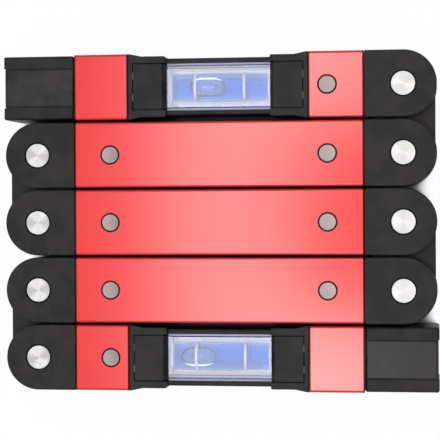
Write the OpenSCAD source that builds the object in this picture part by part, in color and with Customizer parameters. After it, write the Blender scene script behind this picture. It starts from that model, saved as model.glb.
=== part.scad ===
// Folding spirit level: five square arms in a zigzag, joined by four double-pivot hinges.
// X runs along the arms, Y across the folded pack, Z from the back face to the front face.
// The origin is the middle of the back face.

/* [Arms] */
// Width and depth of an arm
arm_w = 21.8; // [19:0.1:28]
// Gap between neighbouring arms when folded
arm_gap = 0.7; // [0.3:0.1:1.5]
// Length of a long tube
tube_span = 96; // [84:1:160]
// Wall of the tubes
tube_wall = 1.2; // [0.8:0.1:2]
// Outer corner radius of the tubes
tube_corner_r = 0.8; // [0.4:0.1:2]
// Inner corner radius of the tubes
tube_inner_r = 0.3; // [0.2:0.1:1]
// Shadow gap between a tube end and the moulding beside it
seam = 0.3; // [0.1:0.05:0.5]
// Depth of that gap, down to the moulding's collar
seam_depth = 0.8; // [0.4:0.1:1]

/* [Hinge forks] */
// Thickness of a cheek
cheek_t = 5; // [3.5:0.25:7]
// Edge radius of the moulding
fork_edge_r = 0.4; // [0.2:0.1:1]
// Solid web between the slot and the tube end
fork_web = 2; // [1.5:0.25:5]
// Opening between the two tongues inside the tube
tongue_gap = 10; // [6:0.5:12]
// Space left beyond the tip of a tongue
tongue_free = 2; // [1:0.25:4]

/* [Hinge links] */
// Setback of the link's sides from the arm's sides
link_inset = 0.5; // [0.4:0.1:1.5]
// Setback of the stop heel from the fork's round end
heel_inset = 0.1; // [0.05:0.05:0.3]
// Gap between the link and the slot floor at its stops
stop_gap = 0.1; // [0.05:0.05:0.3]
// Step relieved round the faces of the link
link_relief = 0.3; // [0.1:0.05:0.6]

/* [Hinge pins and washers] */
// Diameter of the pin's shank
pin_d = 6; // [4:0.25:8]
// Overhang of the pin's turned head
pin_head_lip = 1.05; // [0.5:0.05:2]
// Thickness of the pin's head
pin_head_t = 1.2; // [0.8:0.1:2]
// Chamfer round the pin's head
pin_chamfer = 0.2; // [0.1:0.05:0.4]
// Shadow ring round a pin head
pin_ring = 0.35; // [0.2:0.05:0.8]
// Depth of pin heads and rivets below the faces
head_sink = 0.1; // [0:0.05:0.4]
// Thickness of a friction washer
washer_t = 0.5; // [0.3:0.1:1]
// Outer diameter of a friction washer
washer_d = 15; // [12:0.5:18]

/* [Tube rivets] */
// Diameter of a rivet
rivet_d = 5.2; // [3:0.1:6]
// Shadow ring round a rivet in the tube
rivet_ring = 0.5; // [0.3:0.05:1]
// Chamfer of a rivet and of its hole in the tube
rivet_chamfer = 0.2; // [0.1:0.05:0.4]
// Distance from the tip of a tongue to the rivet
rivet_tip = 4.1; // [3.5:0.1:6]

/* [End caps] */
// Reach of a cap's end past the round ends of the forks
cap_reach = 0.6; // [0:0.1:3]
// Setback of the cap's sides from the tube's sides
cap_drop = 0.3; // [0.1:0.05:0.8]
// Radius of the cap's edges
cap_edge_r = 0.9; // [0.4:0.1:2]
// Width of the belt round the cap
cap_belt_w = 13.2; // [8:0.2:15]
// Depth of the belt
cap_belt_depth = 0.3; // [0.1:0.05:0.5]
// Width of the shadow groove along each side of the belt
cap_groove_w = 0.6; // [0.3:0.1:1]
// Depth of that groove below the belt
cap_groove_depth = 0.4; // [0.1:0.05:0.8]
// Plain lip between the belt and the tube
cap_belt_lip = 0.6; // [0.3:0.1:3]
// Wall of the cap round its hollow core
cap_wall = 3; // [2:0.25:5]

/* [Vial housing] */
// Wall of a rail above or below the vial
rail_t = 1.7; // [0.8:0.1:1.8]
// Setback of the rails from the front and back faces
rail_inset = 3.25; // [1:0.25:4]
// Edge radius of the rails
rail_edge_r = 0.6; // [0.2:0.1:1]
// Height of the panels above the rails
panel_step = 0.5; // [0.2:0.1:1]
// Corner radius where a panel drops to the rail
panel_corner_r = 0.6; // [0.3:0.1:1.5]
// Length of the ramp from the tube down to the panel
ramp_len = 4.4; // [2:0.2:6]
// End flange between a clamp and the tube
flange_t = 1.25; // [1:0.25:2]
// Height of the snap ribs that hold the vial and its clamps between the rails
snap_h = 0.3; // [0.2:0.05:0.5]
// Width of the snap ribs
snap_w = 3; // [1.5:0.25:5]

/* [Vial clamps] */
// Length of a clamp block
clamp_len = 11.1; // [8:0.1:12]
// Width of the bevel on a clamp's edges beside the vial
clamp_bevel = 1.2; // [0.3:0.1:2]
// Depth of that bevel
clamp_bevel_depth = 2; // [0.5:0.25:3]
// Width of the groove round a clamp's face
groove_w = 0.4; // [0.2:0.05:0.8]
// Depth of that groove
groove_depth = 1; // [0.5:0.25:2]
// Width of a snap tab across the groove
tab_w = 2.4; // [1:0.2:4]
// Distance between the two snap tabs
tab_span = 7; // [4:0.5:10]
// Depth of the snap tabs below the face
tab_sink = 0.15; // [0.05:0.05:0.4]

/* [Vial] */
// Opening between the two clamps
vial_window = 34.7; // [30:0.1:40]
// Height of the clear block
vial_h = 15.5; // [12:0.1:17]
// Depth of the clear block
vial_depth = 15; // [12:0.25:18]
// Width of the ledge along the long edges of the clear block
ledge_w = 0.6; // [0.2:0.1:1.2]
// Depth of that ledge
ledge_depth = 0.4; // [0.2:0.1:1]
// Length of the filling plug
plug_len = 1.2; // [1:0.1:4]
// Diameter of the barrel bore at its middle
bore_d = 9.75; // [6:0.25:10]
// Narrowing of the bore's radius at its ends
bore_sag = 0.4; // [0.1:0.05:0.45]
// Distance between the reading rings
ring_span = 16.5; // [13:0.5:20]
// Width of a reading ring
ring_w = 0.8; // [0.3:0.1:1.2]
// Radial thickness of a reading ring
ring_t = 0.2; // [0.1:0.05:0.25]
// Length of the bubble
bubble_len = 12; // [9:0.25:14]
// Height of the bubble
bubble_depth = 1.6; // [1:0.1:2]
// Height of the bubble's upright rim
bubble_rim = 0.15; // [0.1:0.05:0.3]
// Spirit between the bubble and the bore's wall
bubble_film = 0.5; // [0.5:0.05:0.8]
// Place of the bubble along vial 1, from its middle towards the hinge
bubble_at_1 = -4.2; // [-9:0.1:9]
// Place of the bubble along vial 5, from its middle towards the hinge
bubble_at_5 = 7.6; // [-9:0.1:9]

/* [Fits] */
// Radial clearance of a turning pin
run_gap = 0.05; // [0.02:0.01:0.1]
// Clearance of a seated pin, rivet, plug or ring
seat_gap = 0.02; // [0.01:0.01:0.05]
// Axial clearance between stacked hinge pieces
stack_gap = 0.05; // [0.03:0.01:0.1]
// Clearance of a moulding inside a tube or pocket
fit_gap = 0.05; // [0.03:0.01:0.15]

/* [Hidden] */
$fn = 64;

RED = "#e2413f";
BLACK = "#333233";
SILVER = "#dcdcdc";
GREY = "#9a9694";
NYLON = "#e8e6df";
CLEAR = [0.88, 0.89, 0.95, 0.4];
BLUE = [0.45, 0.56, 0.93, 0.6];
AIR = [0.8, 0.88, 1, 0.5];
WHITE = "#f4f2fa";

// Length by which a cut passes its face
over = arm_w / 20;
pitch = arm_w + arm_gap;
mid_z = arm_w / 2;
middle_arm = 3;
turned_arm = 5;

// Vial and clamps, from the middle of an end arm outwards
vial_len = vial_window - 2 * fit_gap;
bore_len = vial_len - 2 * plug_len;
bore_r = bore_d / 2;
bore_steps = 12;
plug_d = 2 * bore_radius(bore_len / 2);
clamp_x = vial_window / 2;
clamp_end_x = clamp_x + clamp_len;
pocket_x = clamp_end_x + fit_gap;
flange_x = pocket_x + flange_t;

// Heights of the vial housing
pocket_half_h = vial_h / 2 + fit_gap;
rail_half_h = pocket_half_h + rail_t;
panel_half_h = rail_half_h + panel_step;

// Tubes and the tongues inside them
tube_inner_w = arm_w - 2 * tube_wall;
spigot_w = tube_inner_w - 2 * fit_gap;
tongue_edge_r = tube_inner_r + fit_gap;
shoulder_x = tube_span / 2 + seam;
collar_t = seam - seat_gap;
collar_w = arm_w - 2 * seam_depth;
short_tube_x = flange_x + seam;
short_tube_len = tube_span / 2 - short_tube_x;
tongue_tip_x = short_tube_x + tongue_free;
housing_tongue_t = tongue_gap - 2 * fit_gap;
rivet_x = tongue_tip_x + rivet_tip;
rivet_bore_d = rivet_d + 2 * seat_gap;
rivet_hole_d = rivet_d + 2 * rivet_ring;

// Hinge stack, from the tube end outwards and through the depth
link_half_w = mid_z - link_inset;
heel_r = mid_z - heel_inset;
slot_floor_x = shoulder_x + fork_web;
pin_x = slot_floor_x + stop_gap + link_half_w;
slot_t = arm_w - 2 * cheek_t;
link_t = slot_t - 2 * washer_t - 4 * stack_gap;
link_z = mid_z - link_t / 2;
pin_bore_d = pin_d + 2 * run_gap;
pin_len = arm_w - 2 * head_sink;
head_r = pin_d / 2 + pin_head_lip;
head_bore_d = 2 * (head_r + pin_ring);
head_bore_depth = head_sink + pin_head_t + stack_gap;

// End caps reach past the round ends of the forks
cap_len = pin_x + mid_z + cap_reach - shoulder_x;
cap_w = arm_w - 2 * cap_drop;

// Bubble against the top of the bore
bubble_r = bore_r - bubble_film;
bubble_floor = bubble_r - bubble_depth;
bubble_w = 2 * sqrt(pow(bubble_r, 2) - pow(bubble_floor + bubble_rim, 2));

// Radius of the barrel bore at a distance from its middle
function bore_radius(x) = bore_r - bore_sag * pow(2 * x / bore_len, 2);

// Stations along the bore from one end to the other
function bore_stations() = [for (i = [0 : bore_steps]) bore_len * (i / bore_steps - 0.5)];

// Rectangle with round corners, centred
module rounded_rect(w, h, r) {
    square([w - 2 * r, h], center = true);
    square([w, h - 2 * r], center = true);
    for (x = [-1, 1], y = [-1, 1])
        translate([x * (w / 2 - r), y * (h / 2 - r)])
            circle(r);
}

// Extrudes a section along X, with the section's own axes on Y and Z
module along_x(length) {
    rotate([90, 0, 90])
        linear_extrude(length)
            children();
}

// Turns a profile of radius and axial distance about the X axis
module about_x() {
    rotate([0, 90, 0])
        rotate_extrude()
            children();
}

// Places an arm in the folded pack: arm 5 is turned half round, so its hinge lies on the left
module at_arm(number) {
    translate([0, (middle_arm - number) * pitch, 0])
        rotate([0, 0, number == turned_arm ? 180 : 0])
            children();
}

// Places link 1 to 4 between its two arms: odd links on the right, even ones on the left
module at_link(number) {
    side = number % 2 == 1 ? 1 : -1;
    translate([side * pin_x, (middle_arm - 0.5 - number) * pitch, 0])
        rotate([0, 0, side > 0 ? 0 : 180])
            children();
}

// Repeats a piece at the two pivots of a link
module at_pivots() {
    for (end = [-1, 1])
        translate([0, end * pitch / 2, 0])
            children();
}

// Round hole through the whole depth of an arm
module through_bore(x, diameter) {
    translate([x, 0, -over])
        cylinder(d = diameter, h = arm_w + 2 * over);
}

// Square tube with chamfered rivet holes at the listed places
module tube_length(start, length, holes) {
    color(RED)
        difference() {
            translate([start, 0, mid_z])
                along_x(length)
                    rounded_rect(arm_w, arm_w, tube_corner_r);
            translate([start - over, 0, mid_z])
                along_x(length + 2 * over)
                    rounded_rect(tube_inner_w, tube_inner_w, tube_inner_r);
            for (x = holes) {
                through_bore(x, rivet_hole_d);
                for (face = [0, 1])
                    translate([x, 0, face * arm_w])
                        rotate([face * 180, 0, 0])
                            cylinder(rivet_chamfer, d1 = rivet_hole_d + 2 * rivet_chamfer, d2 = rivet_hole_d);
            }
        }
}

module long_tube() {
    tube_length(-tube_span / 2, tube_span, [-rivet_x, rivet_x]);
}

module hinge_side_tube() {
    tube_length(short_tube_x, short_tube_len, [rivet_x]);
}

module cap_side_tube() {
    tube_length(-tube_span / 2, short_tube_len, []);
}

// Collar of a moulding that closes the gap at a tube end
module collar(start) {
    translate([start, 0, mid_z])
        along_x(collar_t)
            rounded_rect(collar_w, collar_w, tube_corner_r);
}

// Two flat tongues that slide into a tube, one against each face
module tongues(root_x) {
    length = root_x - tongue_tip_x;
    difference() {
        translate([tongue_tip_x, 0, mid_z])
            along_x(length)
                rounded_rect(spigot_w, spigot_w, tongue_edge_r);
        translate([tongue_tip_x - over, -arm_w / 2, mid_z - tongue_gap / 2])
            cube([length + over, arm_w, tongue_gap]);
    }
}

// Moulded hinge end: two cheeks with a round end outside, two tongues inside the tube
module hinge_fork() {
    color(BLACK)
        difference() {
            union() {
                translate([shoulder_x, 0, mid_z])
                    along_x(pin_x - shoulder_x)
                        rounded_rect(arm_w, arm_w, fork_edge_r);
                translate([pin_x, 0, 0])
                    rotate_extrude()
                        intersection() {
                            translate([0, mid_z])
                                rounded_rect(arm_w, arm_w, fork_edge_r);
                            square(arm_w);
                        }
                collar(shoulder_x - collar_t);
                tongues(shoulder_x);
            }
            translate([slot_floor_x, -arm_w, cheek_t])
                cube([2 * arm_w, 2 * arm_w, slot_t]);
            through_bore(pin_x, pin_bore_d);
            for (z = [-over, arm_w - head_bore_depth])
                translate([pin_x, 0, z])
                    cylinder(d = head_bore_d, h = head_bore_depth + over);
            through_bore(rivet_x, rivet_bore_d);
        }
}

// Rivet that locks tongues in a tube, flush with both faces
module tube_rivet() {
    length = arm_w - 2 * head_sink;
    rivet_r = rivet_d / 2;
    color(GREY)
        translate([rivet_x, 0, head_sink])
            rotate_extrude()
                polygon([
                    [0, 0],
                    [rivet_r - rivet_chamfer, 0],
                    [rivet_r, rivet_chamfer],
                    [rivet_r, length - rivet_chamfer],
                    [rivet_r - rivet_chamfer, length],
                    [0, length]
                ]);
}

// Rivets at both ends of a long tube
module tube_rivet_pair() {
    tube_rivet();
    rotate([0, 0, 180])
        tube_rivet();
}

// Outline of a link: round towards the slot floors, with a stop heel at each outer corner
module link_outline(inset) {
    half_w = link_half_w - inset;
    square([2 * half_w, pitch], center = true);
    for (end = [-1, 1])
        translate([0, end * pitch / 2]) {
            circle(half_w);
            intersection() {
                circle(heel_r - inset);
                translate([0, end > 0 ? 0 : -half_w])
                    square(half_w);
            }
        }
}

// Plate that joins two forks, with relieved edges and two seated bores
module hinge_link() {
    color(BLACK)
        difference() {
            translate([0, 0, link_z]) {
                linear_extrude(link_t)
                    link_outline(link_relief);
                translate([0, 0, link_relief])
                    linear_extrude(link_t - 2 * link_relief)
                        link_outline(0);
            }
            at_pivots()
                through_bore(0, pin_d + 2 * seat_gap);
        }
}

// Two turned pins with a flush head at each end
module hinge_pins() {
    shank_r = pin_d / 2;
    color(SILVER)
        at_pivots()
            translate([0, 0, head_sink])
                rotate_extrude()
                    polygon([
                        [0, 0],
                        [head_r - pin_chamfer, 0],
                        [head_r, pin_chamfer],
                        [head_r, pin_head_t],
                        [shank_r, pin_head_t],
                        [shank_r, pin_len - pin_head_t],
                        [head_r, pin_len - pin_head_t],
                        [head_r, pin_len - pin_chamfer],
                        [head_r - pin_chamfer, pin_len],
                        [0, pin_len]
                    ]);
}

// Thin washers between the link and the cheeks
module friction_washers() {
    color(NYLON)
        at_pivots()
            for (z = [cheek_t + stack_gap, arm_w - cheek_t - stack_gap - washer_t])
                translate([0, 0, z])
                    difference() {
                        cylinder(d = washer_d, h = washer_t);
                        translate([0, 0, -over])
                            cylinder(d = pin_bore_d, h = washer_t + 2 * over);
                    }
}

// Block with round edges, centred on the arm
module round_edged_block(start, length, w, r) {
    intersection() {
        translate([start, 0, mid_z])
            along_x(length)
                rounded_rect(w, w, r);
        translate([start + length / 2, 0, 0])
            linear_extrude(arm_w)
                rounded_rect(length, w, r);
        translate([start + length / 2, arm_w, mid_z])
            rotate([90, 0, 0])
                linear_extrude(2 * arm_w)
                    rounded_rect(length, w, r);
    }
}

// Shallow cut over front, end and back of a cap, starting at a place across it, down to a round-edged core
module belt_cut(y, w, face_depth, end_depth) {
    core_x = shoulder_x - cap_edge_r;
    core_len = cap_len + cap_edge_r - end_depth;
    difference() {
        translate([shoulder_x + cap_belt_lip, y, -over])
            cube([cap_len, w, arm_w + 2 * over]);
        round_edged_block(core_x, core_len, cap_w - 2 * face_depth, cap_edge_r);
    }
}

// Moulded plug that closes the free end of an end arm, with a belt between two grooves
module end_cap() {
    core_h = cap_w - 2 * cap_wall;
    color(BLACK)
        rotate([0, 0, 180])
            difference() {
                union() {
                    round_edged_block(shoulder_x, cap_len, cap_w, cap_edge_r);
                    collar(shoulder_x - collar_t);
                    tongues(shoulder_x + cap_edge_r);
                }
                belt_cut(-cap_belt_w / 2, cap_belt_w, cap_belt_depth, cap_belt_depth);
                for (y = [-cap_belt_w / 2, cap_belt_w / 2 - cap_groove_w])
                    belt_cut(y, cap_groove_w, cap_belt_depth + cap_groove_depth, cap_belt_depth);
                translate([shoulder_x - over, -core_h / 2, mid_z - tongue_gap / 2])
                    cube([cap_len - cap_wall + over, core_h, tongue_gap]);
            }
}

// Outline of the housing's end block: panel with round corners, then a ramp up to the tube
module housing_end_outline() {
    ramp_x = flange_x - ramp_len;
    panel_len = ramp_x - clamp_x;
    translate([clamp_x + panel_len / 2 + panel_corner_r, 0])
        rounded_rect(panel_len + 2 * panel_corner_r, 2 * panel_half_h, panel_corner_r);
    polygon([
        [ramp_x, -panel_half_h],
        [flange_x, -mid_z],
        [flange_x, mid_z],
        [ramp_x, panel_half_h]
    ]);
}

// Moulded frame between the two short tubes: end blocks, rails, window and inner tongues
module vial_housing() {
    tongue_end_x = shoulder_x - tongue_free;
    color(BLACK)
        difference() {
            union() {
                for (turn = [0, 180])
                    rotate([0, 0, turn]) {
                        linear_extrude(arm_w)
                            housing_end_outline();
                        collar(flange_x);
                        translate([pocket_x, -spigot_w / 2, mid_z - housing_tongue_t / 2])
                            cube([tongue_end_x - pocket_x, spigot_w, housing_tongue_t]);
                    }
                translate([-pocket_x, 0, mid_z])
                    along_x(2 * pocket_x)
                        rounded_rect(2 * rail_half_h, arm_w - 2 * rail_inset, rail_edge_r);
            }
            translate([-pocket_x, -pocket_half_h, -over])
                cube([2 * pocket_x, 2 * pocket_half_h, arm_w + 2 * over]);
            translate([-pocket_x, 0, mid_z])
                along_x(2 * pocket_x)
                    square([2 * (pocket_half_h + snap_h), snap_w + 2 * fit_gap], center = true);
            through_bore(rivet_x, rivet_bore_d);
        }
}

// Side view of a clamp's face block: bevelled towards the vial
module clamp_side() {
    face_end_x = clamp_end_x - groove_w;
    polygon([
        [clamp_x, clamp_bevel_depth],
        [clamp_x + clamp_bevel, 0],
        [face_end_x, 0],
        [face_end_x, arm_w],
        [clamp_x + clamp_bevel, arm_w],
        [clamp_x, arm_w - clamp_bevel_depth]
    ]);
}

// Block that closes the pocket at one end of the vial: a full core with snap ribs, and a smaller face that
// leaves a shadow groove
module vial_clamp() {
    core_half_h = pocket_half_h - fit_gap;
    face_half_h = core_half_h - groove_w;
    core_x = clamp_x + clamp_bevel;
    core_len = clamp_end_x - core_x;
    color(BLACK) {
        translate([core_x, -core_half_h, groove_depth])
            cube([core_len, 2 * core_half_h, arm_w - 2 * groove_depth]);
        translate([core_x, 0, mid_z])
            along_x(core_len)
                square([2 * (core_half_h + snap_h), snap_w], center = true);
        translate([0, face_half_h, 0])
            rotate([90, 0, 0])
                linear_extrude(2 * face_half_h)
                    clamp_side();
        for (y = [-1, 1])
            translate([core_x, y * tab_span / 2 - tab_w / 2, tab_sink])
                cube([core_len, tab_w, arm_w - 2 * tab_sink]);
    }
}

// Half section of the bore, drawn smaller by a gap all round
module bore_profile(gap) {
    half = bore_len / 2 - gap;
    polygon(concat(
        [[0, -half]],
        [for (x = bore_stations()) [bore_radius(x) - gap, min(max(x, -half), half)]],
        [[0, half]]
    ));
}

// Clear block with ledges, snap ribs and a barrel bore, filled from the cap side
module vial_block() {
    color(CLEAR)
        difference() {
            translate([-vial_len / 2, 0, mid_z])
                along_x(vial_len) {
                    square([vial_h, vial_depth - 2 * ledge_depth], center = true);
                    square([vial_h - 2 * ledge_w, vial_depth], center = true);
                    square([vial_h + 2 * snap_h, snap_w], center = true);
                }
            translate([0, 0, mid_z])
                about_x()
                    bore_profile(0);
            translate([-vial_len / 2 - over, 0, mid_z])
                rotate([0, 90, 0])
                    cylinder(d = plug_d, h = plug_len + 2 * over);
        }
}

module vial_plug() {
    color(CLEAR)
        translate([-vial_len / 2, 0, mid_z])
            rotate([0, 90, 0])
                cylinder(d = plug_d - 2 * seat_gap, h = plug_len - seat_gap);
}

// Two rings against the bore's wall, drawn larger by a gap all round
module ring_pair(gap) {
    inner_r = bore_radius(ring_span / 2) - seat_gap - ring_t;
    for (side = [-1, 1])
        translate([0, 0, mid_z])
            about_x()
                translate([inner_r - gap, side * ring_span / 2 - ring_w / 2 - gap])
                    square([ring_t + 2 * gap, ring_w + 2 * gap]);
}

module vial_rings() {
    color(WHITE)
        ring_pair(0);
}

// Bubble with round ends in plan and a flat underside, drawn larger by a gap all round
module bubble_shape(place, gap) {
    straight = bubble_len - bubble_w;
    translate([place, 0, mid_z])
        intersection() {
            translate([-bubble_len, 0, 0])
                rotate([0, 90, 0])
                    cylinder(r = bubble_r + gap, h = 2 * bubble_len);
            translate([0, 0, bubble_floor - gap])
                linear_extrude(bore_d) {
                    square([straight, bubble_w + 2 * gap], center = true);
                    for (end = [-1, 1])
                        translate([end * straight / 2, 0])
                            circle(bubble_w / 2 + gap);
                }
        }
}

module vial_bubble(place) {
    color(AIR)
        bubble_shape(place, 0);
}

// Spirit that fills the bore round the rings and the bubble
module vial_spirit(place) {
    color(BLUE)
        difference() {
            translate([0, 0, mid_z])
                about_x()
                    bore_profile(seat_gap);
            ring_pair(2 * seat_gap);
            bubble_shape(place, seat_gap);
        }
}

// Arm 1: cap on the left, hinge on the right
at_arm(1) end_cap();  // end_cap_1
at_arm(1) cap_side_tube();  // tube_cap_side_1
at_arm(1) vial_housing();  // vial_housing_1
at_arm(1) rotate([0, 0, 180]) vial_clamp();  // vial_clamp_cap_side_1
at_arm(1) vial_clamp();  // vial_clamp_hinge_side_1
at_arm(1) vial_block();  // vial_block_1
at_arm(1) vial_plug();  // vial_plug_1
at_arm(1) vial_rings();  // vial_rings_1
at_arm(1) vial_spirit(bubble_at_1);  // vial_spirit_1
at_arm(1) vial_bubble(bubble_at_1);  // vial_bubble_1
at_arm(1) hinge_side_tube();  // tube_hinge_side_1
at_arm(1) hinge_fork();  // hinge_fork_1
at_arm(1) tube_rivet();  // tube_rivet_1

// Arm 2: a hinge at both ends
at_arm(2) long_tube();  // tube_2
at_arm(2) rotate([0, 0, 180]) hinge_fork();  // left_fork_2
at_arm(2) hinge_fork();  // right_fork_2
at_arm(2) tube_rivet_pair();  // tube_rivets_2

// Arm 3: a hinge at both ends
at_arm(3) long_tube();  // tube_3
at_arm(3) rotate([0, 0, 180]) hinge_fork();  // left_fork_3
at_arm(3) hinge_fork();  // right_fork_3
at_arm(3) tube_rivet_pair();  // tube_rivets_3

// Arm 4: a hinge at both ends
at_arm(4) long_tube();  // tube_4
at_arm(4) rotate([0, 0, 180]) hinge_fork();  // left_fork_4
at_arm(4) hinge_fork();  // right_fork_4
at_arm(4) tube_rivet_pair();  // tube_rivets_4

// Arm 5: hinge on the left, cap on the right
at_arm(5) end_cap();  // end_cap_5
at_arm(5) cap_side_tube();  // tube_cap_side_5
at_arm(5) vial_housing();  // vial_housing_5
at_arm(5) rotate([0, 0, 180]) vial_clamp();  // vial_clamp_cap_side_5
at_arm(5) vial_clamp();  // vial_clamp_hinge_side_5
at_arm(5) vial_block();  // vial_block_5
at_arm(5) vial_plug();  // vial_plug_5
at_arm(5) vial_rings();  // vial_rings_5
at_arm(5) vial_spirit(bubble_at_5);  // vial_spirit_5
at_arm(5) vial_bubble(bubble_at_5);  // vial_bubble_5
at_arm(5) hinge_side_tube();  // tube_hinge_side_5
at_arm(5) hinge_fork();  // hinge_fork_5
at_arm(5) tube_rivet();  // tube_rivet_5

// Hinges between neighbouring arms
at_link(1) hinge_link();  // hinge_link_12
at_link(1) hinge_pins();  // hinge_pins_12
at_link(1) friction_washers();  // friction_washers_12
at_link(2) hinge_link();  // hinge_link_23
at_link(2) hinge_pins();  // hinge_pins_23
at_link(2) friction_washers();  // friction_washers_23
at_link(3) hinge_link();  // hinge_link_34
at_link(3) hinge_pins();  // hinge_pins_34
at_link(3) friction_washers();  // friction_washers_34
at_link(4) hinge_link();  // hinge_link_45
at_link(4) hinge_pins();  // hinge_pins_45
at_link(4) friction_washers();  // friction_washers_45
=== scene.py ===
"""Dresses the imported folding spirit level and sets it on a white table."""
import math

import bpy
from bpy.props import FloatProperty, FloatVectorProperty, IntProperty, PointerProperty
from bpy.types import Operator, Panel, PropertyGroup
from mathutils import Matrix, Vector


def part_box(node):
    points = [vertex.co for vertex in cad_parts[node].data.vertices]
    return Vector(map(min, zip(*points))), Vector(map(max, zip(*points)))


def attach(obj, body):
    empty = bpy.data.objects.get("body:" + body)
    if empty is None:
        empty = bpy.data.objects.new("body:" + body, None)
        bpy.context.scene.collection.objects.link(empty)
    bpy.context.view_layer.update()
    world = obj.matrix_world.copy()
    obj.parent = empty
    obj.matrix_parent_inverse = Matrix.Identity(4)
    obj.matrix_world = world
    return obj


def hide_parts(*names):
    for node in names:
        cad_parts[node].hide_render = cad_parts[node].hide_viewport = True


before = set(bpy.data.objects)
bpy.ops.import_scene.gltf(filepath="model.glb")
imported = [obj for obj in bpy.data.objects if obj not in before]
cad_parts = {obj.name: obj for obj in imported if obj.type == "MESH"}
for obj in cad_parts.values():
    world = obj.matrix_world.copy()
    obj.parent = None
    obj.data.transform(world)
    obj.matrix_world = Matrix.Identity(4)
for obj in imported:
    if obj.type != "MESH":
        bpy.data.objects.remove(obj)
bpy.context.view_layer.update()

bl_info = {
    "name": "Folding spirit level",
    "version": (1, 0, 0),
    "blender": (4, 5, 0),
    "location": "View3D > Sidebar > Level",
    "description": "Dresses a folding spirit level and sets it on a white table",
    "category": "Object",
}

MM = 0.001

# What the frame holds
END_ARMS = (1, 5)
LONG_ARMS = (2, 3, 4)
HINGES = ("12", "23", "34", "45")
MOULDING_KINDS = ("end_cap", "vial_housing", "vial_clamp", "hinge_fork", "left_fork", "right_fork",
                  "hinge_link")
TUBES = [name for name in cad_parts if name.startswith("tube_") and "rivet" not in name]
MOULDINGS = [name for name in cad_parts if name.startswith(MOULDING_KINDS)]
RIVETS = {f"tube_rivet_{arm}": f"arm_{arm}" for arm in END_ARMS}
RIVETS.update({f"tube_rivets_{arm}": f"arm_{arm}" for arm in LONG_ARMS})

# How the clear pieces bend and take up light
ACRYLIC_REFRACTION = 1.49
BORE_REFRACTION = 1.03
SPIRIT_REFRACTION = 1.36
SPIRIT_DENSITY = 300.0

# How fine the modelled pieces are
MERGE_DISTANCE = 0.0005 * MM
DISH_STEPS = 6
BORE_STEPS = 24
BUBBLE_SECTION_POINTS = 128
BUBBLE_END_STEPS = 10
BUBBLE_END_TURN = math.radians(84)

# Shares of other sizes
RIVET_CENTRE_SHARE = 0.1
LEDGE_CHAMFER_SHARE = 0.95

# Material slots of a clear block's faces, and how far up a chamfer and a ledge face
CLEAR_FACE, BORE_FACE, LEDGE_FACE, CHAMFER_FACE = range(4)
CHAMFER_FACES_UP = 0.5
LEDGE_FACES_UP = 0.9

# Name, place, width, depth and brightness of each lamp, in metres and against a plain white of 1
LAMPS = (
    ("lamp_left", (-0.125, 0.0, 1.0), 0.13, 0.48, 6.0),
    ("lamp_front", (-0.025, -0.19, 1.0), 0.13, 0.166, 11.0),
    ("lamp_back", (-0.025, 0.1775, 1.0), 0.13, 0.185, 7.0),
)

# How open the table lies where its shade is full, and where it ends
SHADE_FULL = 0.24
SHADE_END = 0.42

# Camera, with its sensor in millimetres
SENSOR_WIDTH = 36.0
NEAREST_SEEN = 0.01
FARTHEST_SEEN = 20.0


def colour(name, description, default):
    """A colour that a user may change."""
    return FloatVectorProperty(name=name, description=description, default=default, subtype="COLOR",
                               min=0.0, max=1.0)


def length(name, description, default):
    """A length in metres that a user may change."""
    return FloatProperty(name=name, description=description, default=default, subtype="DISTANCE",
                         unit="LENGTH", precision=5)


def share(name, description, default):
    """A number from 0 to 1 that a user may change."""
    return FloatProperty(name=name, description=description, default=default, subtype="FACTOR",
                         min=0.0, max=1.0)


class LevelFinishes(PropertyGroup):
    """Colours and finishes of the level"""

    tube_red: colour("Tube red", "Dyed colour of the anodised tubes", (0.57, 0.010, 0.010))
    # Worn colour of the scratches, and the painted highlight along the tubes' edges.
    tube_rub_and_edge_highlight: colour("Tube rub", "Colour where the edges of the tubes are rubbed", (0.95, 0.30, 0.29))
    # Painted shade: a dark line along the tubes' sawn ends stands in for the shade in the seams beside the
    # forks and caps.
    painted_end_shade: colour("Tube end", "Dark colour along the tubes' sawn ends", (0.115, 0.003, 0.003))
    tube_roughness: share("Tube roughness", "Satin of the anodised tubes", 0.48)
    moulding_black: colour("Moulding black", "Colour of the moulded plastic", (0.0068, 0.0054, 0.0057))
    # Painted highlight along the mouldings' edges.
    moulding_edge_highlight: colour("Moulding edge", "Colour along the mouldings' rubbed edges", (0.060, 0.057, 0.057))
    moulding_roughness: share("Moulding roughness", "Matt of the moulded plastic", 0.52)
    # Painted highlight on the snap tabs of the vial clamps.
    tab_highlight: colour("Tab rub", "Colour of the rubbed snap tabs of the vial clamps", (0.105, 0.100, 0.100))
    belt_roughness: share("Belt roughness", "Smoothness of the belt round an end cap", 0.33)
    pin_silver: colour("Pin silver", "Colour of the turned hinge pins", (0.57, 0.562, 0.558))
    rivet_grey: colour("Rivet grey", "Colour of the tube rivets", (0.215, 0.181, 0.174))
    acrylic_tint: colour("Acrylic tint", "Tint of the clear vial blocks", (0.63, 0.63, 0.865))
    ledge_roughness: share("Ledge roughness", "Matt of the ground ledges along the vial blocks", 0.6)
    ledge_clearness: share("Ledge clearness", "Share of light that goes through the ground ledges", 0.5)
    # Painted shade: a dark tint on the chamfers beside the ledges stands in for the dark housing seen through
    # them.
    chamfer_painted_shade: colour("Chamfer tint", "Tint of the chamfers beside the ledges", (0.05, 0.055, 0.11))
    spirit_blue: colour("Spirit blue", "Colour that the spirit lets through", (0.07, 0.62, 0.999))
    # Painted highlight: a glowing line along a bubble's outer side stands in for a reflection.
    bubble_painted_highlight: colour("Bubble light", "Line of light along a bubble's outer side", (0.93, 0.95, 0.98))
    bubble_highlight_glow: FloatProperty(name="Bubble shine", description="Brightness of a bubble's line of light",
                                default=1.25, min=0.0)
    ring_white: colour("Ring white", "Colour of the reading rings", (0.90, 0.89, 0.95))
    washer_nylon: colour("Washer nylon", "Colour of the friction washers", (0.62, 0.60, 0.54))


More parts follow.
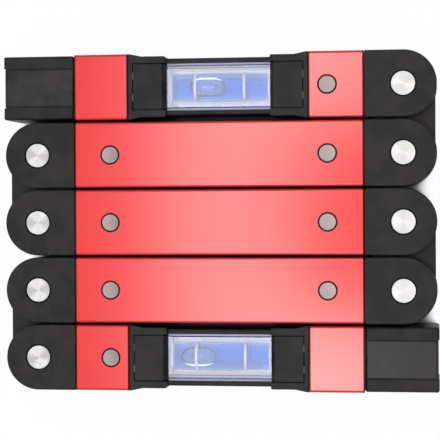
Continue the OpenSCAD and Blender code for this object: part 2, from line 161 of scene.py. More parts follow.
class LevelSizes(PropertyGroup):
    """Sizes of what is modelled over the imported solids"""

    # Width of the painted shade along the tubes' sawn ends.
    painted_end_shade_w: length("Tube end width", "Width of the dark line along the tubes' sawn ends", 0.4 * MM)
    pin_shank_r: length("Pin shank", "Radius of a hinge pin's shank", 3.0 * MM)
    pin_head_t: length("Pin head", "Thickness of a hinge pin's head", 1.2 * MM)
    pin_chamfer: length("Pin chamfer", "Chamfer round a hinge pin's head", 0.2 * MM)
    pin_groove_pitch: length("Turning pitch", "Distance between the turned rings of a pin", 0.42 * MM)
    pin_groove_depth: length("Turning depth", "Depth of the turned rings of a pin", 0.009 * MM)
    pin_centre_r: length("Turning centre", "Radius of the plain centre of a pin", 0.25 * MM)
    rivet_chamfer: length("Rivet chamfer", "Chamfer round a rivet's end", 0.05 * MM)
    rivet_lip: length("Rivet lip", "Overhang of a rivet's upset end", 0.12 * MM)
    rivet_lip_t: length("Rivet lip thickness", "Thickness of a rivet's upset end", 1.0 * MM)
    rivet_dish: length("Rivet dish", "Depth of the dish in a rivet's end", 0.05 * MM)
    ledge_w: length("Ledge width", "Width of the ledges along a vial block", 0.6 * MM)
    ledge_depth: length("Ledge depth", "Depth of the ledges along a vial block", 0.4 * MM)
    bore_sag: length("Bore sag", "Narrowing of the bore's radius at its ends", 0.4 * MM)
    bore_gap: length("Bore gap", "Space between the spirit and the bore", 0.02 * MM)
    snap_h: length("Snap rib height", "Height of the ribs along a vial block", 0.3 * MM)
    snap_w: length("Snap rib width", "Width of the ribs along a vial block", 3.0 * MM)
    belt_half: length("Belt half width", "Half the width of a cap's belt between its grooves", 6.0 * MM)
    tab_reach: length("Tab reach", "Length of a snap tab across the groove round a clamp", 0.4 * MM)
    tab_height: length("Tab height", "Depth below the face in which only the snap tabs lie", 0.3 * MM)
    bubble_end: length("Bubble end", "Length of a bubble's round end", 4.5 * MM)
    bubble_sink: length("Bubble sink", "Depth of a bubble's rim below the packed one", 0.3 * MM)
    bubble_fullness: FloatProperty(name="Bubble fullness", default=2.05, min=2.0, max=6.0,
                                   description="How square the shoulder of a bubble is")
    round_steps: IntProperty(name="Round steps", description="Faces round a turned piece", default=72, min=24)


class LevelStage(PropertyGroup):
    """Camera, lamps and table"""

    camera_place: FloatVectorProperty(name="Camera place", description="Where the camera stands",
                                      default=(0.07097, 0.00636, 0.54416), subtype="TRANSLATION",
                                      unit="LENGTH", precision=5)
    camera_turn: FloatVectorProperty(name="Camera turn", description="Turns of the view about X, Y and Z",
                                     default=[math.radians(turn) for turn in (0.617, -7.658, 0.202)],
                                     subtype="EULER", unit="ROTATION", precision=5)
    camera_lens: FloatProperty(name="Camera lens", description="Focal length on a 36 mm sensor",
                               default=130.9, unit="CAMERA")
    table_side: length("Table side", "Side of the white table", 8.0)
    table_drop: length("Table drop", "Space between the level and the table", 0.1 * MM)
    table_white: colour("Table white", "Colour of the table", (0.92, 0.92, 0.92))
    # Painted shade: colour of the table in narrow gaps.
    table_shade: colour("Table shade", "Colour of the table in narrow gaps", (0.12, 0.12, 0.12))
    table_glow: share("Table glow", "Share of plain white in the table as the camera sees it", 0.96)
    table_under: share("Table under glass", "Brightness of the shaded table as seen through the vials", 0.49)
    shade_reach: length("Shade reach", "How far the shade in narrow gaps reaches over the table", 25.0 * MM)
    room_light: FloatProperty(name="Room light", description="Even light of the room", default=0.88, min=0.0)


def deselect_all():
    """Leave nothing selected, so that the next operator acts on its own piece alone."""
    if bpy.context.object and bpy.context.object.mode != "OBJECT":
        bpy.ops.object.mode_set(mode="OBJECT")
    bpy.ops.object.select_all(action="DESELECT")


def make_active(piece):
    """Select one piece alone and make it the active one."""
    deselect_all()
    piece.select_set(True)
    bpy.context.view_layer.objects.active = piece


def named(piece, name):
    """Give a piece and its mesh their name."""
    piece.name = name
    piece.data.name = name
    return piece


def apply_place(piece):
    """Move a piece's place, turn and scale into its mesh."""
    make_active(piece)
    bpy.ops.object.transform_apply(location=True, rotation=True, scale=True)


def apply_modifier(piece, kind, **settings):
    """Add a modifier to a piece and apply it."""
    make_active(piece)
    modifier = piece.modifiers.new(kind.title(), kind)
    for name, value in settings.items():
        setattr(modifier, name, value)
    bpy.ops.object.modifier_apply(modifier=modifier.name)


def smooth(piece, degrees):
    """Shade a piece smooth, with sharp edges above an angle."""
    make_active(piece)
    bpy.ops.object.shade_smooth_by_angle(angle=math.radians(degrees))


def face_outwards(piece):
    """Merge doubles and turn the faces of a piece outwards."""
    make_active(piece)
    bpy.ops.object.mode_set(mode="EDIT")
    bpy.ops.mesh.select_all(action="SELECT")
    bpy.ops.mesh.remove_doubles(threshold=MERGE_DISTANCE)
    bpy.ops.mesh.normals_make_consistent(inside=False)
    bpy.ops.object.mode_set(mode="OBJECT")


def turned_piece(name, axis, stations, steps):
    """Turn a solid: a filled ring is extruded from station to station, each a radius and a place."""
    deselect_all()
    along = Vector((1, 0, 0)) if axis == "X" else Vector((0, 0, 1))
    turn = (0, math.pi / 2, 0) if axis == "X" else (0, 0, 0)
    radius, place = stations[0]
    bpy.ops.mesh.primitive_circle_add(vertices=steps, radius=radius, fill_type="NGON",
                                      location=along * place, rotation=turn)
    piece = named(bpy.context.object, name)
    bpy.ops.object.transform_apply(location=True, rotation=True, scale=True)
    bpy.ops.object.mode_set(mode="EDIT")
    bpy.ops.mesh.select_all(action="SELECT")
    for next_radius, next_place in stations[1:]:
        grow = next_radius / radius
        bpy.ops.mesh.extrude_region_move(TRANSFORM_OT_translate={"value": along * (next_place - place)})
        bpy.ops.transform.resize(value=(1, grow, grow) if axis == "X" else (grow, grow, 1),
                                 center_override=along * next_place)
        radius, place = next_radius, next_place
    bpy.ops.object.mode_set(mode="OBJECT")
    face_outwards(piece)
    return piece


def polar_map(piece):
    """Give a piece turned about Z a map of turn and radius, so that a finish can follow the tool marks."""
    layer = piece.data.uv_layers.new(name="turned")
    for face in piece.data.polygons:
        middle = math.atan2(face.center.y, face.center.x)
        for corner in face.loop_indices:
            point = piece.data.vertices[piece.data.loops[corner].vertex_index].co
            angle = math.atan2(point.y, point.x)
            angle += 2 * math.pi * round((middle - angle) / (2 * math.pi))
            layer.data[corner].uv = (angle / (2 * math.pi), math.hypot(point.x, point.y) / MM)


def copies_of(master, name, places):
    """One piece made of a copy of the master at each place."""
    made = []
    for place in places:
        make_active(master)
        bpy.ops.object.duplicate()
        copy = bpy.context.object
        copy.location = place
        made.append(copy)
    deselect_all()
    for copy in made:
        copy.select_set(True)
    bpy.context.view_layer.objects.active = made[0]
    bpy.ops.object.join()
    piece = named(bpy.context.object, name)
    apply_place(piece)
    return piece


def finish_with(piece, *materials):
    """Put these materials, and no others, on a piece."""
    piece.data.materials.clear()
    for material in materials:
        piece.data.materials.append(material)


def stand_for(piece, body, slot, *nodes):
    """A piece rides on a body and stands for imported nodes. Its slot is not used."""
    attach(piece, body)
    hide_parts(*nodes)


class NodeMaker:
    """Adds and links the nodes of one material or node group."""

    def __init__(self, tree):
        self.tree = tree

    def add(self, kind, **settings):
        """A new node with these settings."""
        node = self.tree.nodes.new(kind)
        for name, value in settings.items():
            setattr(node, name, value)
        return node

    def feed(self, value, socket):
        """Link a socket, or set a constant."""
        if isinstance(value, bpy.types.NodeSocket):
            self.tree.links.new(value, socket)
        else:
            socket.default_value = value

    def math(self, operation, *values):
        """One sum on sockets or numbers."""
        node = self.add("ShaderNodeMath", operation=operation)
        for number, value in enumerate(values):
            self.feed(value, node.inputs[number])
        return node.outputs[0]

    def mix(self, factor, first, second):
        """Two colours mixed. The node keeps its colours in sockets 6 and 7 and puts them out at 2."""
        node = self.add("ShaderNodeMix", data_type="RGBA")
        self.feed(factor, node.inputs[0])
        self.feed(first, node.inputs[6])
        self.feed(second, node.inputs[7])
        return node.outputs[2]

    def mix_shaders(self, factor, first, second):
        """Two shaders mixed."""
        node = self.add("ShaderNodeMixShader")
        for number, part in enumerate((factor, first, second)):
            self.feed(part, node.inputs[number])
        return node.outputs[0]

    def span(self, value, low, high, to_low, to_high):
        """A value taken from one span to another, and held at its ends."""
        node = self.add("ShaderNodeMapRange", clamp=True)
        for number, part in enumerate((value, low, high, to_low, to_high)):
            self.feed(part, node.inputs[number])
        return node.outputs[0]

    def object_place(self, stretch=(1.0, 1.0, 1.0)):
        """Place of a point in the piece's own space, stretched along X, Y and Z."""
        place = self.add("ShaderNodeTexCoord").outputs["Object"]
        mapping = self.add("ShaderNodeMapping")
        self.feed(place, mapping.inputs["Vector"])
        mapping.inputs["Scale"].default_value = stretch
        return mapping.outputs["Vector"]

    def object_parts(self):
        """X, Y and Z of a point in the piece's own space."""
        parts = self.add("ShaderNodeSeparateXYZ")
        self.feed(self.add("ShaderNodeTexCoord").outputs["Object"], parts.inputs[0])
        return parts.outputs

    def noise(self, place, scale, detail=2.0, roughness=0.5):
        """Even noise between 0 and 1."""
        node = self.add("ShaderNodeTexNoise")
        self.feed(place, node.inputs["Vector"])
        self.feed(scale, node.inputs["Scale"])
        node.inputs["Detail"].default_value = detail
        node.inputs["Roughness"].default_value = roughness
        return node.outputs["Fac"]

    def group(self, tree, **values):
        """A node group placed with these values. Gives its outputs."""
        node = self.add("ShaderNodeGroup", node_tree=tree)
        for name, value in values.items():
            self.feed(value, node.inputs[name.replace("_", " ").capitalize()])
        return node.outputs


def new_group(name, inputs, outputs):
    """An empty shader node group with named sockets, its maker, its input node and its output node."""
    tree = bpy.data.node_groups.new(name, "ShaderNodeTree")
    for socket, kind, default in inputs:
        made = tree.interface.new_socket(socket, in_out="INPUT", socket_type=kind)
        made.default_value = default
    for socket, kind in outputs:
        tree.interface.new_socket(socket, in_out="OUTPUT", socket_type=kind)
    maker = NodeMaker(tree)
    return tree, maker, maker.add("NodeGroupInput").outputs, maker.add("NodeGroupOutput").inputs


def soft_edge_group():
    """Rounded normals near the edges, and a mask of the edges."""
    tree = bpy.data.node_groups.get("soft edges")
    if tree:
        return tree
    tree, make, given, out = new_group("soft edges", [("Radius", "NodeSocketFloat", 0.3 * MM)],
                                       [("Normal", "NodeSocketVector"), ("Edge", "NodeSocketFloat")])
    bevel = make.add("ShaderNodeBevel", samples=6)
    make.feed(given["Radius"], bevel.inputs["Radius"])
    flat = make.add("ShaderNodeNewGeometry").outputs["True Normal"]
    facing = make.add("ShaderNodeVectorMath", operation="DOT_PRODUCT")
    make.feed(bevel.outputs["Normal"], facing.inputs[0])
    make.feed(flat, facing.inputs[1])
    make.feed(bevel.outputs["Normal"], out["Normal"])
    make.feed(make.span(facing.outputs["Value"], 0.98, 0.75, 0.0, 1.0), out["Edge"])
    return tree


def moulding_grain_group():
    """Fine spark-eroded grain of a mould, with a broad unevenness of tone."""
    tree = bpy.data.node_groups.get("moulding grain")
    if tree:
        return tree
    tree, make, given, out = new_group("moulding grain", [("Fineness", "NodeSocketFloat", 5200.0)],
                                       [("Height", "NodeSocketFloat"), ("Tone", "NodeSocketFloat")])
    place = make.object_place()
    make.feed(make.noise(place, given["Fineness"], 3.0, 0.6), out["Height"])
    make.feed(make.noise(place, 110.0, 5.0, 0.6), out["Tone"])
    return tree


def brushed_group():
    """Fine straight lines along the arm, as a belt leaves them before anodising."""
    tree = bpy.data.node_groups.get("brushed lines")
    if tree:
        return tree
    tree, make, given, out = new_group("brushed lines", [("Fineness", "NodeSocketFloat", 1.0)],
                                       [("Height", "NodeSocketFloat"), ("Tone", "NodeSocketFloat")])
    fine = make.noise(make.object_place((60.0, 9000.0, 9000.0)), given["Fineness"], 2.0, 0.6)
    broad = make.noise(make.object_place((14.0, 900.0, 900.0)), given["Fineness"], 3.0, 0.6)
    height = make.math("ADD", make.math("MULTIPLY", fine, 0.6), make.math("MULTIPLY", broad, 0.4))
    make.feed(height, out["Height"])
    make.feed(broad, out["Tone"])
    return tree


def handling_group():
    """Sparse specks and short scratches from use."""
    tree = bpy.data.node_groups.get("handling marks")
    if tree:
        return tree
    tree, make, given, out = new_group("handling marks", [("Spread", "NodeSocketFloat", 60.0)],
                                       [("Specks", "NodeSocketFloat"), ("Scratches", "NodeSocketFloat")])
    cells = make.add("ShaderNodeTexVoronoi", feature="F1")
    make.feed(make.object_place(), cells.inputs["Vector"])
    make.feed(given["Spread"], cells.inputs["Scale"])
    near = make.span(cells.outputs["Distance"], 0.012, 0.03, 1.0, 0.0)
    parts = make.add("ShaderNodeSeparateColor")
    make.feed(cells.outputs["Color"], parts.inputs[0])
    make.feed(make.math("MULTIPLY", near, make.math("GREATER_THAN", parts.outputs[0], 0.62)), out["Specks"])
    lines = make.add("ShaderNodeTexVoronoi", feature="DISTANCE_TO_EDGE")
    mapping = make.add("ShaderNodeMapping")
    make.feed(make.object_place(), mapping.inputs["Vector"])
    mapping.inputs["Rotation"].default_value = (0.4, 0.3, 0.9)
    mapping.inputs["Scale"].default_value = (30.0, 210.0, 60.0)
    make.feed(mapping.outputs["Vector"], lines.inputs["Vector"])
    lines.inputs["Scale"].default_value = 1.0
    thin = make.span(lines.outputs["Distance"], 0.0, 0.012, 1.0, 0.0)
    here = make.span(make.noise(make.object_place(), 75.0, 1.0), 0.62, 0.70, 0.0, 1.0)
    make.feed(make.math("MULTIPLY", thin, here), out["Scratches"])
    return tree


def turned_group():
    """Fine rings that a lathe tool leaves, read from a piece's own map of turn and radius."""
    tree = bpy.data.node_groups.get("turned rings")
    if tree:
        return tree
    tree, make, given, out = new_group("turned rings", [("Rings", "NodeSocketFloat", 9.0)],
                                       [("Height", "NodeSocketFloat"), ("Tone", "NodeSocketFloat")])
    parts = make.add("ShaderNodeSeparateXYZ")
    make.feed(make.add("ShaderNodeUVMap", uv_map="turned").outputs["UV"], parts.inputs[0])
    joined = make.add("ShaderNodeCombineXYZ")
    make.feed(make.math("MULTIPLY", parts.outputs[1], given["Rings"]), joined.inputs[0])
    make.feed(make.noise(joined.outputs[0], 1.0, 3.0, 0.7), out["Height"])
    make.feed(make.noise(joined.outputs[0], 0.33, 2.0, 0.6), out["Tone"])
    return tree


def empty_nodes(owner):
    """Clear the nodes of a material or world, and give their maker."""
    owner.use_nodes = True
    owner.node_tree.nodes.clear()
    return NodeMaker(owner.node_tree)


def new_material(name):
    """An empty node material, its maker, its Principled BSDF and its output."""
    material = bpy.data.materials.new(name)
    make = empty_nodes(material)
    shader = make.add("ShaderNodeBsdfPrincipled")
    output = make.add("ShaderNodeOutputMaterial")
    make.feed(shader.outputs["BSDF"], output.inputs["Surface"])
    return material, make, shader, output


def solid(rgb):
    """A colour with full alpha."""
    return (*rgb, 1.0)


def relief(make, shader, height, strength, depth, normal=None):
    """Bump on a shader's normal."""
    bump = make.add("ShaderNodeBump")
    bump.inputs["Strength"].default_value = strength
    bump.inputs["Distance"].default_value = depth
    make.feed(height, bump.inputs["Height"])
    if normal is not None:
        make.feed(normal, bump.inputs["Normal"])
    make.feed(bump.outputs["Normal"], shader.inputs["Normal"])


def anodised_red(finishes, name, middle, half, shade_width):
    """Red dyed satin aluminium, brushed along the arm, with a painted highlight along its edges and painted
    shade at its sawn ends.
    """
    material, make, shader, _ = new_material(name)
    edges = make.group(soft_edge_group(), radius=0.35 * MM)
    lines = make.group(brushed_group())
    marks = make.group(handling_group(), spread=110.0)
    red, rub = solid(finishes.tube_red), solid(finishes.tube_rub_and_edge_highlight)
    deep = solid([0.93 * part for part in finishes.tube_red])
    speck = solid([0.3 * part for part in finishes.tube_red])
    tone = make.mix(make.span(lines["Tone"], 0.3, 0.7, 0.0, 1.0), deep, red)
    # Painted highlight: the edge mask turns the edges paler, as if they caught the light; the scratches below
    # are wear.
    tone = make.mix(make.math("MULTIPLY", edges["Edge"], 0.55), tone, rub)
    tone = make.mix(make.math("MULTIPLY", marks["Scratches"], 0.03), tone, rub)
    tone = make.mix(make.math("MULTIPLY", marks["Specks"], 0.5), tone, speck)
    # Painted shade: a dark band at each sawn end, with a thinner coat, stands in for the shade in the seam.
    x, _, _ = make.object_parts()
    from_middle = make.math("ABSOLUTE", make.math("SUBTRACT", make.math("ABSOLUTE", x), middle))
    line, blur = half - shade_width, 0.1 * shade_width
    in_end_shade = make.span(from_middle, line - blur, line + blur, 0.0, 1.0)
    tone = make.mix(in_end_shade, tone, solid(finishes.painted_end_shade))
    make.feed(tone, shader.inputs["Base Color"])
    rough = finishes.tube_roughness
    make.feed(make.span(lines["Tone"], 0.25, 0.75, rough - 0.03, rough + 0.03), shader.inputs["Roughness"])
    shader.inputs["Metallic"].default_value = 1.0
    make.feed(make.span(in_end_shade, 0.0, 1.0, 1.0, 0.1), shader.inputs["Coat Weight"])
    shader.inputs["Coat Roughness"].default_value = 0.17
    shader.inputs["Coat IOR"].default_value = 1.55
    relief(make, shader, lines["Height"], 0.10, 0.02 * MM, edges["Normal"])
    return material


def black_moulding(finishes, name="black moulded plastic", polished=None, rubbed=None):
    """Black moulded plastic with grain and a painted highlight along its edges, smoother where one mask says
    so, with a painted highlight where another says so.
    """
    material, make, shader, _ = new_material(name)
    edges = make.group(soft_edge_group(), radius=0.25 * MM)
    grain = make.group(moulding_grain_group())
    deep = solid([0.15 * part for part in finishes.moulding_black])
    pale = solid([2.9 * part for part in finishes.moulding_black])
    tone = make.mix(make.span(grain["Tone"], 0.38, 0.62, 0.0, 1.0), deep, pale)
    # Painted highlight: the edge mask makes the edges paler, as if they caught the light.
    tone = make.mix(make.math("MULTIPLY", edges["Edge"], 0.5), tone, solid(finishes.moulding_edge_highlight))
    # Painted highlight: where the mask says so, the colour turns paler, as if the snap tabs caught the light.
    if rubbed:
        tone = make.mix(rubbed(make), tone, solid(finishes.tab_highlight))
    make.feed(tone, shader.inputs["Base Color"])
    rough = finishes.moulding_roughness
    gloss = make.span(grain["Tone"], 0.36, 0.64, rough - 0.05, rough + 0.06)
    if polished:
        smoother = make.math("MULTIPLY", polished(make), rough - finishes.belt_roughness)
        gloss = make.math("SUBTRACT", gloss, smoother)
    make.feed(gloss, shader.inputs["Roughness"])
    shader.inputs["Specular IOR Level"].default_value = 0.27
    relief(make, shader, grain["Height"], 0.25, 0.03 * MM, edges["Normal"])
    return material


def turned_metal(name, base, roughness, anisotropy, rings, strength):
    """Metal turned on a lathe: rings in the surface and gloss drawn out across them."""
    material, make, shader, _ = new_material(name)
    marks = make.group(turned_group(), rings=rings)
    dull = solid([0.86 * part for part in base])
    tone = make.mix(make.span(marks["Tone"], 0.3, 0.7, 0.0, 1.0), dull, solid(base))
    make.feed(tone, shader.inputs["Base Color"])
    gloss = make.span(marks["Height"], 0.3, 0.7, roughness - 0.05, roughness + 0.06)
    make.feed(gloss, shader.inputs["Roughness"])
    shader.inputs["Metallic"].default_value = 1.0
    shader.inputs["Anisotropic"].default_value = anisotropy
    tangent = make.add("ShaderNodeTangent", direction_type="UV_MAP", uv_map="turned")
    make.feed(tangent.outputs["Tangent"], shader.inputs["Tangent"])
    relief(make, shader, marks["Height"], strength, 0.01 * MM)
    return material


def clear(name, tint, refraction, roughness=0.0, clearness=1.0):
    """A clear material with one tint and one refraction, ground or milky where it is less than clear."""
    material, make, shader, output = new_material(name)
    shader.inputs["Base Color"].default_value = solid(tint)
    shader.inputs["Roughness"].default_value = roughness
    shader.inputs["IOR"].default_value = refraction
    shader.inputs["Transmission Weight"].default_value = clearness
    let_light_in(make, shader.outputs["BSDF"], output, [math.sqrt(part) for part in tint])
    return material, make, shader, output


def let_light_in(make, surface, output, tint):
    """Let lamps and the room light what lies inside a clear piece."""
    through = make.add("ShaderNodeBsdfTransparent")
    through.inputs["Color"].default_value = solid(tint)
    in_shadow = make.add("ShaderNodeLightPath").outputs["Is Shadow Ray"]
    make.feed(make.mix_shaders(in_shadow, surface, through.outputs[0]), output.inputs["Surface"])


def acrylic(finishes):
    """Clear polished acrylic of a vial block."""
    return clear("clear acrylic", finishes.acrylic_tint, ACRYLIC_REFRACTION)[0]


def ground_acrylic(finishes):
    """Acrylic as a cutter leaves it on the ledges along a block, and on the chamfers beside them, which take
    a dark tint as painted shade.
    """
    rough = finishes.ledge_roughness
    ledge, *_ = clear("ground acrylic", finishes.acrylic_tint, ACRYLIC_REFRACTION, rough,
                      finishes.ledge_clearness)
    # Painted shade: the chamfers are tinted dark.
    chamfer, *_ = clear("chamfer in painted shade", finishes.chamfer_painted_shade, ACRYLIC_REFRACTION, rough)
    return ledge, chamfer


def bore_wall():
    """The wall between acrylic and spirit, which bends light only a little."""
    return clear("bore wall", (1.0, 1.0, 1.0), BORE_REFRACTION)[0]


def blue_spirit(finishes):
    """Blue spirit, deeper in colour where it is thicker."""
    material, make, _, output = clear("blue spirit", (1.0, 1.0, 1.0), 1.0)
    depth = make.add("ShaderNodeVolumeAbsorption")
    depth.inputs["Color"].default_value = solid(finishes.spirit_blue)
    depth.inputs["Density"].default_value = SPIRIT_DENSITY
    make.feed(depth.outputs["Volume"], output.inputs["Volume"])
    return material


def air_bubble(finishes):
    """Air inside the spirit, with a glowing painted highlight along its outer side."""
    material = bpy.data.materials.new("air bubble")
    make = empty_nodes(material)
    glass = make.add("ShaderNodeBsdfGlass")
    glass.inputs["IOR"].default_value = 1.0 / SPIRIT_REFRACTION
    glass.inputs["Roughness"].default_value = 0.0
    # Painted highlight: the bubble glows where its normal faces outwards, as a reflection would show there.
    light = make.add("ShaderNodeEmission")
    light.inputs["Color"].default_value = solid(finishes.bubble_painted_highlight)
    light.inputs["Strength"].default_value = finishes.bubble_highlight_glow
    facing = make.add("ShaderNodeSeparateXYZ")
    make.feed(make.add("ShaderNodeTexCoord").outputs["Normal"], facing.inputs[0])
    _, y, _ = make.object_parts()
    outer = make.math("MULTIPLY", facing.outputs[1], make.math("SIGN", y))
    outside = make.math("SUBTRACT", 1.0, make.add("ShaderNodeNewGeometry").outputs["Backfacing"])
    line = make.math("MULTIPLY", make.span(outer, 0.64, 0.72, 0.05, 0.95), outside)
    both = make.mix_shaders(line, glass.outputs[0], light.outputs[0])
    let_light_in(make, both, make.add("ShaderNodeOutputMaterial"), (1.0, 1.0, 1.0))
    return material


def plain_plastic(name, base, roughness, glow=0.0):
    """Pale plastic with a faint unevenness, and a painted glow of its own colour, even all over."""
    material, make, shader, _ = new_material(name)
    grain = make.group(moulding_grain_group())
    dull = solid([0.92 * part for part in base])
    tone = make.mix(make.span(grain["Tone"], 0.3, 0.7, 0.0, 1.0), dull, solid(base))
    make.feed(tone, shader.inputs["Base Color"])
    shader.inputs["Roughness"].default_value = roughness
    # Painted light: the emission makes the plastic glow though it is no lamp.
    shader.inputs["Emission Color"].default_value = solid(base)
    shader.inputs["Emission Strength"].default_value = glow
    return material


class LEVEL_OT_dress_tubes(Operator):
    """Anodise the square tubes"""

    bl_idname = "level.dress_tubes"
    bl_label = "Dress the tubes"

    def execute(self, context):
        finishes, sizes = context.scene.level_finishes, context.scene.level_sizes
        made = {}
        for name in TUBES:
            low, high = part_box(name)
            middle, half = round(abs(low.x + high.x) / 2, 5), round((high.x - low.x) / 2, 5)
            if (middle, half) not in made:
                finish_name = f"red anodised aluminium {len(made) + 1}"
                made[middle, half] = anodised_red(finishes, finish_name, middle, half, sizes.painted_end_shade_w)
            finish_with(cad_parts[name], made[middle, half])
        return {"FINISHED"}


class LEVEL_OT_dress_mouldings(Operator):
    """Give forks, links, caps, housings and clamps their moulded black"""

    bl_idname = "level.dress_mouldings"
    bl_label = "Dress the mouldings"

    def execute(self, context):
        finishes, sizes = context.scene.level_finishes, context.scene.level_sizes
        cap_low, cap_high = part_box("end_cap_1")
        clamp_low, clamp_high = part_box("vial_clamp_hinge_side_1")
        arm_y, middle_z = (cap_low.y + cap_high.y) / 2, (clamp_low.z + clamp_high.z) / 2

        def on_belt(make):
            _, y, _ = make.object_parts()
            return make.math("COMPARE", make.math("ABSOLUTE", y), arm_y, sizes.belt_half)

        # Mask of the snap tabs, which get a painted highlight.
        def on_tabs(make):
            x, _, z = make.object_parts()
            in_groove = make.math("GREATER_THAN", make.math("ABSOLUTE", x), clamp_high.x - sizes.tab_reach)
            from_middle = make.math("ABSOLUTE", make.math("SUBTRACT", z, middle_z))
            near_face = make.math("GREATER_THAN", from_middle, clamp_high.z - middle_z - sizes.tab_height)
            return make.math("MULTIPLY", in_groove, near_face)

        plain = black_moulding(finishes)
        belted = black_moulding(finishes, "black plastic with a smooth belt", polished=on_belt)
        tabbed = black_moulding(finishes, "black plastic with painted tab highlights", rubbed=on_tabs)
        for name in MOULDINGS:
            finish = plain
            if name.startswith("end_cap"):
                finish = belted
            elif name.startswith("vial_clamp"):
                finish = tabbed
            finish_with(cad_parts[name], finish)
        return {"FINISHED"}


class LEVEL_OT_dress_washers(Operator):
    """Give the friction washers their nylon"""

    bl_idname = "level.dress_washers"
    bl_label = "Dress the washers"

    def execute(self, context):
        finish = plain_plastic("natural nylon", context.scene.level_finishes.washer_nylon, roughness=0.4)
        for hinge in HINGES:
            finish_with(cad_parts[f"friction_washers_{hinge}"], finish)
        return {"FINISHED"}


def turned_face(sizes, outer_r, bottom):
    """Stations of a pin's face from its centre out, with turned rings."""
    stations = [(sizes.pin_centre_r, bottom)]
    radius = sizes.pin_centre_r
    groove = True
    while radius + sizes.pin_groove_pitch / 2 < outer_r - sizes.pin_groove_pitch / 2:
        radius += sizes.pin_groove_pitch / 2
        stations.append((radius, bottom + (sizes.pin_groove_depth if groove else 0.0)))
        groove = not groove
    return stations


class LEVEL_OT_make_pins(Operator):
    """Turn the hinge pins, with rings on their heads"""

    bl_idname = "level.make_pins"
    bl_label = "Make the hinge pins"

    def execute(self, context):
        sizes = context.scene.level_sizes
        finish = turned_metal("turned steel", context.scene.level_finishes.pin_silver, roughness=0.42,
                              anisotropy=0.85, rings=9.0, strength=0.45)
        low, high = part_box("hinge_pins_12")
        head_r, long = (high.x - low.x) / 2, high.z - low.z
        lower = turned_face(sizes, head_r - sizes.pin_chamfer, 0.0)
        lower += [(head_r - sizes.pin_chamfer, 0.0), (head_r, sizes.pin_chamfer),
                  (head_r, sizes.pin_head_t), (sizes.pin_shank_r, sizes.pin_head_t)]
        upper = [(radius, long - place) for radius, place in reversed(lower)]
        pin = turned_piece("pin_master", "Z", lower + upper, sizes.round_steps)
        smooth(pin, degrees=30)
        polar_map(pin)
        for hinge in HINGES:
            node = f"hinge_pins_{hinge}"
            low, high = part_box(node)
            middle = (low.x + high.x) / 2
            places = [(middle, y, low.z) for y in (low.y + head_r, high.y - head_r)]
            piece = copies_of(pin, f"turned_pins_{hinge}", places)
            finish_with(piece, finish)
            stand_for(piece, f"link_{hinge}", "turned_steel", node)
        bpy.data.objects.remove(pin)
        return {"FINISHED"}


class LEVEL_OT_make_rivets(Operator):
    """Make the tube rivets, with a shallow dish in each upset end"""

    bl_idname = "level.make_rivets"
    bl_label = "Make the tube rivets"

    def execute(self, context):
        sizes = context.scene.level_sizes
        finish = turned_metal("rivet steel", context.scene.level_finishes.rivet_grey, roughness=0.36,
                              anisotropy=0.2, rings=5.0, strength=0.15)
        low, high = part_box("tube_rivet_1")
        rivet_r, long = (high.x - low.x) / 2, high.z - low.z
        lip_r = rivet_r + sizes.rivet_lip
        dish_r = lip_r - 2 * sizes.rivet_chamfer
        lower = [(RIVET_CENTRE_SHARE * rivet_r, sizes.rivet_dish)]
        lower += [(dish_r * step / DISH_STEPS, sizes.rivet_dish * (1 - (step / DISH_STEPS) ** 2))
                  for step in range(1, DISH_STEPS + 1)]
        lower += [(lip_r - sizes.rivet_chamfer, 0.0), (lip_r, sizes.rivet_chamfer),
                  (lip_r, sizes.rivet_lip_t), (rivet_r, sizes.rivet_lip_t)]
        upper = [(radius, long - place) for radius, place in reversed(lower)]
        rivet = turned_piece("rivet_master", "Z", lower + upper, sizes.round_steps)
        smooth(rivet, degrees=30)
        polar_map(rivet)
        for node, body in RIVETS.items():
            low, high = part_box(node)
            middle = (low.y + high.y) / 2
            sides = {round(low.x + rivet_r, 6), round(high.x - rivet_r, 6)}
            places = [(x, middle, low.z) for x in sorted(sides)]
            piece = copies_of(rivet, node.replace("tube_", "flush_"), places)
            finish_with(piece, finish)
            stand_for(piece, body, "rivet_steel", node)
        bpy.data.objects.remove(rivet)
        return {"FINISHED"}


def bar(name, middle, size):
    """A straight bar to be cut or joined further."""
    deselect_all()
    bpy.ops.mesh.primitive_cube_add(size=1, location=middle, scale=size)
    piece = named(bpy.context.object, name)
    apply_place(piece)
    return piece


def chamfer_along_x(piece, width):
    """Chamfer the four long edges of a bar that lies along X."""
    make_active(piece)
    bpy.ops.object.mode_set(mode="EDIT")
    bpy.ops.mesh.select_mode(type="EDGE")
    bpy.ops.mesh.select_all(action="DESELECT")
    bpy.ops.object.mode_set(mode="OBJECT")
    points = piece.data.vertices
    for edge in piece.data.edges:
        first, last = (points[number].co for number in edge.vertices)
        edge.select = abs(first.x - last.x) > 2 * width
    bpy.ops.object.mode_set(mode="EDIT")
    bpy.ops.mesh.bevel(offset=width, segments=1, affect="EDGES")
    bpy.ops.object.mode_set(mode="OBJECT")


def join_or_cut(block, tool, operation):
    """Join a bar to a block, or cut a bore out of it, and remove the tool."""
    apply_modifier(block, "BOOLEAN", operation=operation, solver="EXACT", object=tool)
    bpy.data.objects.remove(tool)


def barrel(name, sizes, middle, radius, long):
    """A barrel along X, narrower at its ends by the bore's sag."""
    places = [long * (step / BORE_STEPS - 0.5) for step in range(BORE_STEPS + 1)]
    stations = [(radius - sizes.bore_sag * (2 * place / long) ** 2, place) for place in places]
    piece = turned_piece(name, "X", stations, sizes.round_steps)
    piece.location = middle
    apply_place(piece)
    return piece


